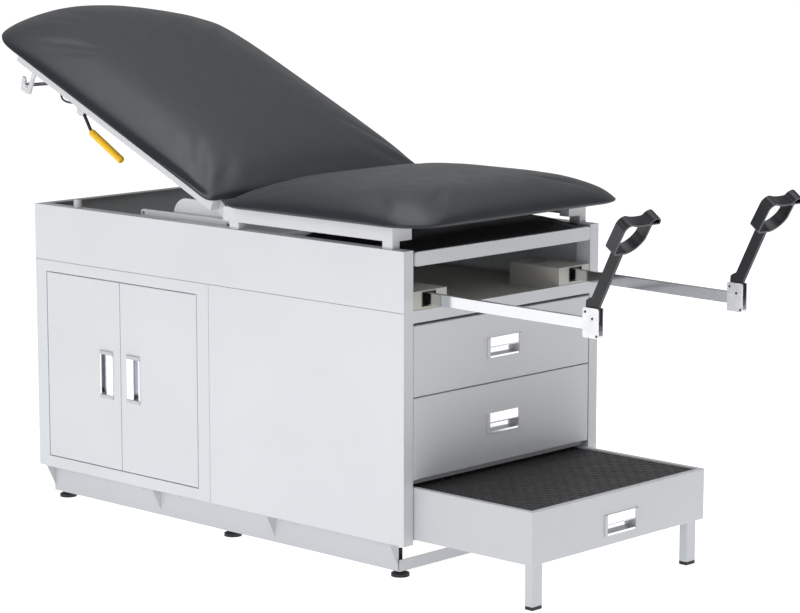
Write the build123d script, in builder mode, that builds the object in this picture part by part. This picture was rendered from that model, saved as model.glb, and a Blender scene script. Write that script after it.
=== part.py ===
"""A medical exam table: cabinet base with doors, drawers, step, leg rest, stirrups and a raising backrest.

Lengths are in mm, +Z is up, the foot end is +X and the cupboard doors are on the -Y side. Every part
is drawn with x = 0 on the cabinet's front face, and save() shifts it so the footprint is centred.
"""

import os
from math import cos, radians, sin, sqrt

from build123d import *

os.makedirs("parts", exist_ok=True)

# ---- Cabinet
FRONT_X = 408.0  # the front face's place once the footprint is centred
REAR_X = -1228.0
HALF_W = 325.0
BODY_Z = 86.0
SEAM_Z = 596.0
TOP_Z = 730.0
SHEET = 1.5
RETURN_W = 15.0
APRON_FLANGE = 30.0
SKIN_IN = HALF_W - SHEET
MODULE_X = -613.0
DECK_Z = 588.0
POST_IN = 295.5
WALL_IN = 294.0
POST_DEPTH = 40.0
LIP_Z = (572.0, 599.0)

# ---- Cupboard
BAY_X = (-1189.0, -652.0)
BAY_Z = (113.0, 569.0)
DOOR_GAP = 2.0
DOOR_MEET_X = -921.0
DOOR_DEPTH = 18.0
DOOR_PIVOT_IN = 7.0
DOOR_PIVOT_Y = -320.5
DOOR_PIN_R = 2.5

# ---- Drawers and step
FRONT_HALF = 293.5
DRAWER_1_Z = (410.0, 566.0)
DRAWER_2_Z = (228.0, 408.0)
DRAWER_FRONT = 18.0
BOX_HALF = 275.0
BOX_LENGTH = 500.0
STEP_OUT = 338.0
STEP_LENGTH = 420.0
STEP_Z = (97.6, 212.5)
STEP_RIM = 12.0
MAT_Z = (206.5, 210.0)
LEG_X = (315.0, 336.0)
LEG_Y = ((-289.0, -259.0), (236.0, 266.0))
CAP_Z = 8.0

# ---- Recessed handles
HANDLE_L = 115.0
HANDLE_H = 46.0
HANDLE_DEPTH = 15.0
HANDLE_CUT = 5.4

# ---- Base and feet
PLINTH_Y = 295.0
PLINTH_Z = 19.0
PLINTH_X = (-1208.0, -45.0)
PLINTH_T = 2.0
GUSSET_X = (-1206.0, -821.0, -433.0, -47.5)
FOOT_X = (-1195.0, -603.0, -68.0)
FOOT_Y = 264.0
FOOT_R = 20.5
STEM_R = 5.0

# ---- Leg rest
TRAY_HALF = 291.5
TRAY_REAR_X = -545.0
BAR_Z = (695.0, 726.0)
LEG_PAD_X = (-370.0, -6.0)
LEG_PAD_Z = (704.5, 757.0)

# ---- Seat
SEAT_RAIL_Y = (297.5, 322.0)
SEAT_RAIL_X = (-563.0, -36.0)
SEAT_RAIL_Z = (747.0, 779.0)
SEAT_PAD_X = (-541.0, 68.0)
PAD_HALF = 367.0
SEAT_PAD_T = 70.0
SEAT_CROWN_R = 5000.0
PAD_ROUND = 42.0

# ---- Backrest, drawn flat with u = x - PIVOT_X and w = z - PIVOT_Z, then raised
PIVOT_X = -572.0
PIVOT_Z = 750.0
RAISED = 24.1
REST_RAIL_Y = (296.0, 322.0)
REST_RAIL_U = (-785.0, -38.0)
REST_RAIL_W = (1.0, 33.0)
CROSS_TUBE_U = (-700.0, -480.0, -260.0)
CROSS_TUBE_R = 12.5
REST_PAD_T = 66.0
REST_CROWN_R = 11000.0
HEAD_R = 600.0
HEAD_U = -955.0
CORNER_R = 100.0
PIVOT_R = 6.0
LEVER_PIVOT = (-568.0, -27.0)
LEVER_Y = -275.0
GRIP_FROM = (-521.0, -58.0)
GRIP_TO = (-397.0, -69.0)
ROLL_ROD = (-739.0, -43.0)
ROLL_ROD_R = 5.0
CABLE_D = 5.0
CABLE_ROUTE = (
    (-560.0, -288.0, -4.0),
    (-604.0, -314.0, -16.0),
    (-655.0, -285.0, -5.0),
    (-560.0, -120.0, 2.0),
    (-440.0, -24.0, -10.0),
    (-398.0, -24.0, -12.0),
)
CABLE_RADII = (30.0, 30.0, 80.0, 40.0)

# ---- Gas spring
SPRING_FOOT = (-592.0, 650.0)
SPRING_HEAD = (-380.0, -12.0)  # in the backrest's u and w
SPRING_LENGTH = 412.0
SPRING_ANGLE = 143.644
CYLINDER_R = 11.0
ROD_R = 4.0

# ---- Stirrups
SWIVEL_X = -119.0
SWIVEL_Y = 245.0
SWIVEL_R = 23.0
HOUSING_Y = (188.0, 295.0)
HOUSING_Z = 640.0
HOUSING_X = -150.0
SLOT_HALF = 20.0
SLOT_Z = (607.0, 637.0)
STIRRUP_BAR_Z = (609.0, 635.0)
BAR_HALF_T = 4.0
BAR_TAIL_X = -180.0
BRACKET_L = 42.0
BRACKET_Z = (594.0, 656.0)
BRACKET_PLATE = 2.5
BRACKET_GAP = 6.2
FOLD_AT = (26.0, 634.0)  # from the bracket's back edge, and above the floor
ARM_AT = 12.0  # where the arm's middle line passes at the fold's height
ARM_LEAN = 27.0
ARM_W = 25.0
ARM_T = 8.0
ARM_L = 163.0
LOOP_LEAN = 36.0
LOOP_SKEW = 0.17
LOOP_W = 27.0
LOOP_T = 5.0
LOOP_H = 84.0
STIRRUPS = {
    "near": {"side": -1, "turn": -2.0, "bracket_x": 451.0},
    "far": {"side": 1, "turn": -3.5, "bracket_x": 461.0},
}


def block(x0, x1, y0, y1, z0, z1, mode=Mode.ADD):
    """A box between opposite corners, given in any order."""
    with Locations(((x0 + x1) / 2, (y0 + y1) / 2, (z0 + z1) / 2)):
        Box(abs(x1 - x0), abs(y1 - y0), abs(z1 - z0), mode=mode)


def prism_x(points, x0, x1, mode=Mode.ADD):
    """A shape drawn in Y and Z that runs from x0 to x1."""
    low, high = min(x0, x1), max(x0, x1)
    with BuildSketch(Plane.YZ.offset(low)) as outline:
        with BuildLine():
            Polyline(*points, close=True)
        make_face()
    extrude(outline.sketch, amount=high - low, mode=mode)


def prism_y(points, y0, y1, mode=Mode.ADD):
    """A shape drawn in X and Z that runs from y0 to y1."""
    low, high = min(y0, y1), max(y0, y1)
    with BuildSketch(Plane.XZ.offset(-high)) as outline:
        with BuildLine():
            Polyline(*points, close=True)
        make_face()
    extrude(outline.sketch, amount=high - low, mode=mode)


def round_y(x, z, radius, y0, y1, mode=Mode.ADD):
    """A round bar or hole along Y."""
    with Locations(Location((x, (y0 + y1) / 2, z), (90, 0, 0))):
        Cylinder(radius, abs(y1 - y0), mode=mode)


def round_z(x, y, radius, z0, z1, mode=Mode.ADD):
    """A round bar or hole along Z."""
    with Locations((x, y, (z0 + z1) / 2)):
        Cylinder(radius, abs(z1 - z0), mode=mode)


def rod_between(start, end, radius, mode=Mode.ADD):
    """A round bar from one point to another."""
    span = Vector(*end) - Vector(*start)
    middle = (Vector(*start) + Vector(*end)) / 2
    with Locations(Plane(origin=middle, z_dir=span).location):
        Cylinder(radius, span.length, mode=mode)


def crown(x, top, radius):
    """Trim the pad being drawn to a broad dome that peaks at x and top."""
    with Locations((x, 0, top - radius)):
        Sphere(radius, mode=Mode.INTERSECT)


def save(part, node):
    """Write one finished part in the shared frame."""
    placed = part.moved(Location((FRONT_X, 0, 0)))
    placed.label = node
    export_step(placed, f"parts/{node}.step")


def raised(part):
    """A backrest part turned up from flat to where it rests."""
    return part.rotate(Axis((PIVOT_X, 0, PIVOT_Z), (0, 1, 0)), RAISED)


# ---- Side panels, aprons and rear panel: sheet pans with inward returns
def side_skin(side):
    """One long side below the seam, with its returns and the groove between the two modules."""
    outer, inner, fold = side * HALF_W, side * SKIN_IN, side * (HALF_W - RETURN_W)
    block(REAR_X, 0, outer, inner, BODY_Z, SEAM_Z)
    block(REAR_X + SHEET, -POST_DEPTH, outer, fold, BODY_Z, BODY_Z + SHEET)
    block(REAR_X + SHEET, -POST_DEPTH, outer, fold, SEAM_Z - SHEET, SEAM_Z)
    block(REAR_X + SHEET, REAR_X + 2 * SHEET, outer, fold, BODY_Z, SEAM_Z)
    block(MODULE_X - 0.8, MODULE_X + 0.8, outer, outer - side, BODY_Z + 2, SEAM_Z - 2, mode=Mode.SUBTRACT)


with BuildPart() as near_side_panel:
    side_skin(-1)
    fold_y = -HALF_W + RETURN_W
    block(
        BAY_X[0] - SHEET, BAY_X[1] + SHEET, -HALF_W, fold_y, BAY_Z[0] - SHEET, BAY_Z[1] + SHEET
    )
    block(BAY_X[0], BAY_X[1], -HALF_W, fold_y, BAY_Z[0], BAY_Z[1], mode=Mode.SUBTRACT)
save(near_side_panel.part, "near_side_panel")

with BuildPart() as far_side_panel:
    side_skin(1)
save(far_side_panel.part, "far_side_panel")


def apron(side):
    """One long side above the seam, with its top flange and lower return."""
    outer = side * HALF_W
    block(REAR_X, 0, outer, side * SKIN_IN, SEAM_Z, TOP_Z)
    block(REAR_X, 0, outer, side * (HALF_W - APRON_FLANGE), TOP_Z - SHEET, TOP_Z)
    block(REAR_X + SHEET, -POST_DEPTH, outer, side * (HALF_W - RETURN_W), SEAM_Z, SEAM_Z + SHEET)


with BuildPart() as near_apron:
    apron(-1)
save(near_apron.part, "near_apron")

with BuildPart() as far_apron:
    apron(1)
save(far_apron.part, "far_apron")

with BuildPart() as rear_panel:
    block(REAR_X, REAR_X + SHEET, -SKIN_IN, SKIN_IN, BODY_Z, TOP_Z - SHEET)
    inner = HALF_W - APRON_FLANGE
    block(REAR_X, REAR_X + SHEET, -inner, inner, TOP_Z - SHEET, TOP_Z)
    block(REAR_X, REAR_X + 25, -inner, inner, TOP_Z - SHEET, TOP_Z)
save(rear_panel.part, "rear_panel")

# ---- Front frame: two hollow posts, the lipped rail over the drawers, a mid rail and a sill
with BuildPart() as front_frame:
    for side in (-1, 1):
        block(-POST_DEPTH, 0, side * POST_IN, side * SKIN_IN, BODY_Z, TOP_Z - SHEET)
        block(
            -POST_DEPTH + 2,
            -2,
            side * (POST_IN + 2),
            side * (SKIN_IN - 2),
            BODY_Z,
            TOP_Z - SHEET,
            mode=Mode.SUBTRACT,
        )
    block(-SHEET, 0, -POST_IN, POST_IN, LIP_Z[0], LIP_Z[1])
    block(-POST_DEPTH, 0, -POST_IN, POST_IN, LIP_Z[0], LIP_Z[0] + SHEET)
    block(-POST_DEPTH, -20, -POST_IN, POST_IN, 214, 226)
    block(-POST_DEPTH, -26, -POST_IN, POST_IN, BODY_Z, BODY_Z + 10)
save(front_frame.part, "front_frame")

# ---- Inner carcass: floor, deck, partition, drawer walls and the cupboard shelf, welded
with BuildPart() as inner_carcass:
    floor_z = BODY_Z + SHEET
    under_deck = DECK_Z - SHEET
    inside = REAR_X + 2 * SHEET
    block(inside, -POST_DEPTH - 4, -SKIN_IN, SKIN_IN, floor_z, floor_z + SHEET)
    block(inside, -POST_DEPTH, -SKIN_IN, SKIN_IN, under_deck, DECK_Z)
    block(-POST_DEPTH, -SHEET, -POST_IN, POST_IN, under_deck, DECK_Z)
    block(MODULE_X, MODULE_X + SHEET, -308, 308, floor_z, under_deck)
    for side in (-1, 1):
        block(MODULE_X, -POST_DEPTH, side * WALL_IN, side * (WALL_IN + 1.4), floor_z + SHEET, under_deck)
    block(inside + 20, MODULE_X, -300, 308, 330, 331.5)
    block(inside + 20, MODULE_X, 306.5, 308, floor_z, under_deck)
save(inner_carcass.part, "inner_carcass")

# ---- Base: recessed plinths with flanges, outrigger gussets and cross rails
with BuildPart() as base_frame:
    x0, x1 = PLINTH_X
    for side in (-1, 1):
        web = side * (PLINTH_Y - PLINTH_T)
        block(x0, x1, web, side * PLINTH_Y, PLINTH_Z, BODY_Z)
        block(x0, x1, side * (PLINTH_Y - 60), side * PLINTH_Y, PLINTH_Z, PLINTH_Z + PLINTH_T)
        block(x0, x1, web, side * (HALF_W - 2), BODY_Z - PLINTH_T, BODY_Z)
        gusset = [
            (side * PLINTH_Y, BODY_Z - PLINTH_T),
            (side * (HALF_W - 3), BODY_Z - PLINTH_T),
            (side * PLINTH_Y, PLINTH_Z + 12),
        ]
        for gusset_x in GUSSET_X:
            prism_x(gusset, gusset_x, gusset_x + 2.5)
        for foot_x in FOOT_X:
            round_z(foot_x, side * FOOT_Y, 9, PLINTH_Z, PLINTH_Z + 12)
    for rail_x in (-1150.0, -640.0, -42.0):
        block(rail_x, rail_x + 2, -PLINTH_Y + 60, PLINTH_Y - 60, PLINTH_Z, PLINTH_Z + 26)
    block(-47, -40, -PLINTH_Y, PLINTH_Y, PLINTH_Z, PLINTH_Z + 2)
    block(-42, -40, -PLINTH_Y, PLINTH_Y, PLINTH_Z, PLINTH_Z + 26)
    for rail_x in (-1152.0, -642.0):
        block(rail_x, rail_x + 24, -PLINTH_Y + 50, PLINTH_Y - 50, PLINTH_Z, PLINTH_Z + 2)
    for side in (-1, 1):
        for foot_x in FOOT_X:
            round_z(foot_x, side * FOOT_Y, STEM_R + 0.05, PLINTH_Z - 1, BODY_Z, mode=Mode.SUBTRACT)
save(base_frame.part, "base_frame")

with BuildPart() as panel_screws:
    for side in (-1, 1):
        for step in range(9):
            round_y(-1140 + 130 * step, 76, 4, side * PLINTH_Y, side * (PLINTH_Y + 2.2))
save(panel_screws.part, "panel_screws")

for side, side_name in ((-1, "near"), (1, "far")):
    for foot_x, place in zip(FOOT_X, ("rear", "mid", "front")):
        with BuildPart() as foot:
            round_z(foot_x, side * FOOT_Y, FOOT_R, 0, 7)
            with Locations((foot_x, side * FOOT_Y, 7)):
                Cone(
                    FOOT_R, 9, 5, align=(Align.CENTER, Align.CENTER, Align.MIN), mode=Mode.ADD
                )
            with BuildSketch(Plane.XY.offset(12)):
                with Locations((foot_x, side * FOOT_Y)):
                    RegularPolygon(8.5, 6)
            extrude(amount=6)
            round_z(foot_x, side * FOOT_Y, STEM_R, 10, 62)
        save(foot.part, f"foot_{side_name}_{place}")

# ---- Fixed runners: drawers, step and leg rest
RUNNER_1_Z = 490.0
RUNNER_2_Z = 318.0
STEP_RUNNER_Z = 120.0
REST_RUNNER_Z = 706.0
with BuildPart() as fixed_runners:
    for side in (-1, 1):
        for mid_z in (RUNNER_1_Z, RUNNER_2_Z):
            block(-590, -45, side * 292.5, side * WALL_IN, mid_z - 21, mid_z + 21)
            for lip_z in (mid_z - 21, mid_z + 19.5):
                block(-590, -45, side * 282, side * WALL_IN, lip_z, lip_z + SHEET)
        block(-590, -45, side * 262, side * 264, 89, STEP_RUNNER_Z + 15)
        block(-590, -45, side * 262, side * 290, 89, 90.5)
        for lip_z in (STEP_RUNNER_Z - 15, STEP_RUNNER_Z + 13):
            block(-590, -45, side * 262, side * 278, lip_z, lip_z + 2)
        block(-550, -42, side * 322, side * SKIN_IN, REST_RUNNER_Z - 12, REST_RUNNER_Z + 12)
        for lip_z in (REST_RUNNER_Z - 12, REST_RUNNER_Z + 10.5):
            block(-550, -42, side * 302, side * SKIN_IN, lip_z, lip_z + SHEET)
save(fixed_runners.part, "fixed_runners")


# ---- Recessed handles, drawn in their own frame: x along the grip, y across it, z outward
def handle(origin, x_dir, z_dir):
    """A recessed pull: flange, dish, end caps and the lip the fingers go behind."""
    dish_x, dish_y = HANDLE_L - 6, HANDLE_H - 6
    with BuildPart(Plane(origin=origin, x_dir=x_dir, z_dir=z_dir)) as pull:
        block(-HANDLE_L / 2, HANDLE_L / 2, -HANDLE_H / 2, HANDLE_H / 2, 0, 1.6)
        block(-dish_x / 2, dish_x / 2, -dish_y / 2, dish_y / 2, -HANDLE_DEPTH, 0.2)
        block(
            -HANDLE_L / 2 + 9,
            HANDLE_L / 2 - 9,
            -dish_y / 2 + 1.5,
            dish_y / 2 - 1.5,
            -HANDLE_DEPTH + 1.5,
            2,
            mode=Mode.SUBTRACT,
        )
        block(-HANDLE_L / 2 + 9, HANDLE_L / 2 - 9, 1, dish_y / 2, -0.6, 1.6)
        round_bar = Location((0, 1, 0.5), (0, 90, 0))
        with Locations(round_bar):
            Cylinder(1.6, HANDLE_L - 18)
        for end in (-1, 1):
            block(end * (HANDLE_L / 2 - 9), end * HANDLE_L / 2, -HANDLE_H / 2, HANDLE_H / 2, 1.6, 3.6)
        outer = pull.faces().filter_by(lambda face: abs(face.area - 9 * HANDLE_H) < 0.5)
        fillet(outer.edges(), 1.2)
    return pull.part


def handle_hole(origin, x_dir, z_dir, depth):
    """The cut-out a recessed handle drops into."""
    with Locations(Plane(origin=origin, x_dir=x_dir, z_dir=z_dir).location):
        Box(HANDLE_L - HANDLE_CUT, HANDLE_H - HANDLE_CUT, depth, mode=Mode.SUBTRACT)


# ---- Drawers: a front pan, its handle and the open box behind it
def drawer_front(z_range):
    """A drawer front pan with a hole for its handle."""
    low, high = z_range
    middle = (low + high) / 2 if high < 500 else 488.0
    with BuildPart() as pan:
        block(-DRAWER_FRONT, 0, -FRONT_HALF, FRONT_HALF, low, high)
        rim = pan.faces().sort_by(Axis.X)[-1].edges()
        fillet(rim, 2)
        block(
            -DRAWER_FRONT,
            -SHEET,
            -FRONT_HALF + SHEET,
            FRONT_HALF - SHEET,
            low + SHEET,
            high - SHEET,
            mode=Mode.SUBTRACT,
        )
        handle_hole((0, 0, middle), (0, 1, 0), (1, 0, 0), 2 * SHEET + 1)
    return pan.part, middle


def drawer_box(z_low, z_high, runner_z):
    """The open-topped box, with the sliding rail on each side."""
    rear, front = -DRAWER_FRONT - BOX_LENGTH, -DRAWER_FRONT
    with BuildPart() as box:
        block(rear, front, -BOX_HALF, BOX_HALF, z_low, z_high)
        block(
            rear + SHEET,
            front - SHEET,
            -BOX_HALF + SHEET,
            BOX_HALF - SHEET,
            z_low + SHEET,
            z_high + 1,
            mode=Mode.SUBTRACT,
        )
        for side in (-1, 1):
            block(rear, front - 30, side * BOX_HALF, side * 290.5, runner_z - 18, runner_z - 15)
            block(rear, front - 30, side * BOX_HALF, side * 277, runner_z - 18, runner_z + 18)
            block(rear, front - 30, side * BOX_HALF, side * 290.5, runner_z + 15, runner_z + 18)
    return box.part


for number, z_range, box_z, runner_z in (
    (1, DRAWER_1_Z, (428.0, 548.0), RUNNER_1_Z),
    (2, DRAWER_2_Z, (246.0, 388.0), RUNNER_2_Z),
):
    front_part, handle_z = drawer_front(z_range)
    save(front_part, f"drawer_{number}_front")
    save(drawer_box(*box_z, runner_z), f"drawer_{number}_box")
    save(handle((0, 0, handle_z), (0, 1, 0), (1, 0, 0)), f"drawer_{number}_handle")

# ---- Pull-out step: an open-bottomed box with a framed mat, on two capped front legs
STEP_REAR = STEP_OUT - STEP_LENGTH
STEP_HANDLE_Z = 142.0
with BuildPart() as step_box:
    block(STEP_REAR, STEP_OUT, -FRONT_HALF, FRONT_HALF, STEP_Z[0], STEP_Z[1])
    fillet(step_box.faces().sort_by(Axis.X)[-1].edges(), 2)
    block(
        STEP_REAR - 1,
        STEP_OUT - 2,
        -FRONT_HALF + 2,
        FRONT_HALF - 2,
        STEP_Z[0] - 1,
        MAT_Z[0] - 1.5,
        mode=Mode.SUBTRACT,
    )
    block(
        STEP_REAR + STEP_RIM,
        STEP_OUT - STEP_RIM,
        -FRONT_HALF + STEP_RIM,
        FRONT_HALF - STEP_RIM,
        MAT_Z[0],
        STEP_Z[1] + 1,
        mode=Mode.SUBTRACT,
    )
    for side in (-1, 1):
        block(
            STEP_REAR, 240, side * 266, side * (FRONT_HALF - 2), STEP_RUNNER_Z - 10, STEP_RUNNER_Z + 10
        )
    handle_hole((STEP_OUT, 0, STEP_HANDLE_Z), (0, 1, 0), (1, 0, 0), 5)
save(step_box.part, "step_box")
save(handle((STEP_OUT, 0, STEP_HANDLE_Z), (0, 1, 0), (1, 0, 0)), "step_handle")

with BuildPart() as step_mat:
    block(
        STEP_REAR + STEP_RIM,
        STEP_OUT - STEP_RIM,
        -FRONT_HALF + STEP_RIM,
        FRONT_HALF - STEP_RIM,
        MAT_Z[0],
        MAT_Z[1],
    )
save(step_mat.part, "step_mat")

with BuildPart() as step_legs:
    for y0, y1 in LEG_Y:
        block(LEG_X[0], LEG_X[1], y0, y1, CAP_Z, MAT_Z[0] - 1.5)
save(step_legs.part, "step_legs")

with BuildPart() as step_leg_caps:
    for y0, y1 in LEG_Y:
        block(LEG_X[0], LEG_X[1], y0, y1, 0, CAP_Z)
        fillet(step_leg_caps.faces().sort_by(Axis.Z)[0].edges(), 1.5)
save(step_leg_caps.part, "step_leg_caps")


# ---- Cupboard doors: pans that turn on hidden pins near their outer edges
def door(x0, x1, pivot_x, handle_x, handle_dir):
    """A door pan with pin holes in its top and bottom returns and a handle cut-out."""
    z0, z1 = BAY_Z[0] + DOOR_GAP, BAY_Z[1] - DOOR_GAP
    y0, y1 = -HALF_W, -HALF_W + DOOR_DEPTH
    with BuildPart() as pan:
        block(x0, x1, y0, y1, z0, z1)
        fillet(pan.faces().sort_by(Axis.Y)[0].edges(), 1.2)
        block(
            x0 + SHEET, x1 - SHEET, y0 + SHEET, y1 + 1, z0 + SHEET, z1 - SHEET, mode=Mode.SUBTRACT
        )
        round_z(pivot_x, DOOR_PIVOT_Y, DOOR_PIN_R + 0.05, z0 - 1, z1 + 1, mode=Mode.SUBTRACT)
        handle_hole((handle_x, -HALF_W, 340.5), handle_dir, (0, -1, 0), 5)
    return pan.part


LEFT_PIVOT_X = BAY_X[0] + DOOR_PIVOT_IN
RIGHT_PIVOT_X = BAY_X[1] - DOOR_PIVOT_IN
LEFT_HANDLE_X = -970.5
RIGHT_HANDLE_X = -875.0
save(
    door(BAY_X[0] + 2.5, DOOR_MEET_X - 1, LEFT_PIVOT_X, LEFT_HANDLE_X, (0, 0, -1)), "left_door"
)
save(
    door(DOOR_MEET_X + 1, BAY_X[1] - 2.5, RIGHT_PIVOT_X, RIGHT_HANDLE_X, (0, 0, 1)), "right_door"
)
save(handle((LEFT_HANDLE_X, -HALF_W, 340.5), (0, 0, -1), (0, -1, 0)), "left_door_handle")
save(handle((RIGHT_HANDLE_X, -HALF_W, 340.5), (0, 0, 1), (0, -1, 0)), "right_door_handle")

with BuildPart() as door_hinge_pins:
    for pivot_x in (LEFT_PIVOT_X, RIGHT_PIVOT_X):
        round_z(pivot_x, DOOR_PIVOT_Y, DOOR_PIN_R, BAY_Z[0], BAY_Z[0] + 11)
        round_z(pivot_x, DOOR_PIVOT_Y, DOOR_PIN_R, BAY_Z[1] - 11, BAY_Z[1])
save(door_hinge_pins.part, "door_hinge_pins")

# ---- Leg rest: a tray with a front bar, and the pad that lies in it
with BuildPart() as leg_rest_tray:
    block(-4, 3, -TRAY_HALF, TRAY_HALF, BAR_Z[0], BAR_Z[1])
    fillet(leg_rest_tray.edges().filter_by(Axis.X), 6)
    block(TRAY_REAR_X, -4, -TRAY_HALF + 2, TRAY_HALF - 2, LEG_PAD_Z[0] - 2, LEG_PAD_Z[0])
    for side in (-1, 1):
        wall = side * (TRAY_HALF - 4)
        block(TRAY_REAR_X, -4, wall, side * (TRAY_HALF - 2), BAR_Z[0] + 1, LEG_PAD_Z[0])
        block(
            TRAY_REAR_X, TRAY_REAR_X + 130, wall, side * 318, REST_RUNNER_Z - 9, REST_RUNNER_Z - 5
        )
        block(
            TRAY_REAR_X, TRAY_REAR_X + 130, side * 305, side * 318, REST_RUNNER_Z - 9, REST_RUNNER_Z + 9
        )
save(leg_rest_tray.part, "leg_rest_tray")

with BuildPart() as leg_rest_pad:
    block(*LEG_PAD_X, -TRAY_HALF, TRAY_HALF, *LEG_PAD_Z)
    fillet(leg_rest_pad.edges().filter_by(Axis.Z), 30)
    crown((LEG_PAD_X[0] + LEG_PAD_X[1]) / 2, LEG_PAD_Z[1], 2800)
    fillet(leg_rest_pad.faces().sort_by(Axis.Z)[-1].edges(), 24)
save(leg_rest_pad.part, "leg_rest_pad")

# ---- Seat: two hollow rails with front returns, cross members and feet on rubber
with BuildPart() as seat_frame:
    z0, z1 = SEAT_RAIL_Z
    for side in (-1, 1):
        inner, outer = side * SEAT_RAIL_Y[0], side * SEAT_RAIL_Y[1]
        block(*SEAT_RAIL_X, inner, outer, z0, z1)
        block(
            SEAT_RAIL_X[0] - 1,
            SEAT_RAIL_X[1] - 2,
            side * (SEAT_RAIL_Y[0] + 2),
            side * (SEAT_RAIL_Y[1] - 2),
            z0 + 2,
            z1 - 2,
            mode=Mode.SUBTRACT,
        )
        block(SEAT_RAIL_X[1] - 28, SEAT_RAIL_X[1], side * 262, inner, z0, z1)
        for foot_x in (-66.0, -543.0):
            block(foot_x, foot_x + 30, side * 300, outer, TOP_Z + 5, z0)
    for member_x in (-150.0, -320.0, -500.0):
        block(member_x, member_x + 30, -SEAT_RAIL_Y[0], SEAT_RAIL_Y[0], z0 + 14, z1)
        block(member_x + 2, member_x + 28, -SEAT_RAIL_Y[0], SEAT_RAIL_Y[0], z0 + 13, z1 - 2, mode=Mode.SUBTRACT)
save(seat_frame.part, "seat_frame")

with BuildPart() as rubber_buffers:
    for side in (-1, 1):
        for foot_x in (-66.0, -543.0):
            block(foot_x, foot_x + 30, side * 300, side * SEAT_RAIL_Y[1], TOP_Z, TOP_Z + 5)
        round_z(-1085, side * 309, 10, TOP_Z, PIVOT_Z + 0.7)
save(rubber_buffers.part, "rubber_buffers")


def round_pad(part):
    """Soften a pad's long edges: well rounded on top, a little underneath."""
    fillet(part.faces().sort_by(Axis.Z)[-1].edges(), PAD_ROUND)
    fillet(part.faces().sort_by(Axis.Z)[0].edges(), 5)


with BuildPart() as seat_pad:
    x0, x1 = SEAT_PAD_X
    block(x0, x1, -PAD_HALF, PAD_HALF, SEAT_RAIL_Z[1], SEAT_RAIL_Z[1] + SEAT_PAD_T)
    uprights = seat_pad.edges().filter_by(Axis.Z).sort_by(Axis.X)
    fillet(uprights[-2:], 90)
    fillet(seat_pad.edges().filter_by(Axis.Z).sort_by(Axis.X)[:2], 50)
    crown((x0 + x1) / 2, SEAT_RAIL_Z[1] + SEAT_PAD_T, SEAT_CROWN_R)
    round_pad(seat_pad)
save(seat_pad.part, "seat_pad")

# ---- Backrest carriers fixed in the cabinet
with BuildPart() as hinge_plates:
    for side in (-1, 1):
        near, far = side * 276, side * 280
        prism_y([(-777, 735), (-700, 590), (-700, 588), (-555, 588), (-555, 779), (-733, 779)], near, far)
        round_y(-733, 735, 44, near, far)
        block(-700, -555, side * 256, far, DECK_Z, DECK_Z + 3)
        round_y(PIVOT_X, PIVOT_Z, PIVOT_R + 0.05, near, far, mode=Mode.SUBTRACT)
        round_y(-733, 735, 9, near, far, mode=Mode.SUBTRACT)
save(hinge_plates.part, "hinge_plates")

with BuildPart() as tie_bars:
    for side in (-1, 1):
        near, far = side * 285.5, side * 290.5
        block(-870.5, -586, near, far, 725, 744)
        round_y(-870.5, 734.5, 9.5, near, far)
        round_y(-870.5, 734.5, 4.5, near, far, mode=Mode.SUBTRACT)
        for boss_x in (-610.0, -735.0):
            round_y(boss_x, 734.5, 9 if boss_x > -700 else 9.5, side * 280, side * 286)
save(tie_bars.part, "tie_bars")

with BuildPart() as spring_anchor:
    foot_x, foot_z = SPRING_FOOT
    block(foot_x - 30, foot_x + 30, -40, 40, DECK_Z, DECK_Z + 4)
    for side in (-1, 1):
        cheek = [
            (foot_x - 28, DECK_Z + 4),
            (foot_x + 28, DECK_Z + 4),
            (foot_x + 13, foot_z),
            (foot_x, foot_z + 13),
            (foot_x - 13, foot_z),
        ]
        prism_y(cheek, side * 13, side * 17)
    round_y(foot_x, foot_z, 5, -20, 20)
save(spring_anchor.part, "spring_anchor")


# ---- Backrest frame: rails, cross tubes, pivot lugs, spring cheeks, lever bracket and roll hooks
def at(u, w):
    """A flat backrest point in X and Z."""
    return (PIVOT_X + u, PIVOT_Z + w)


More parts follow.
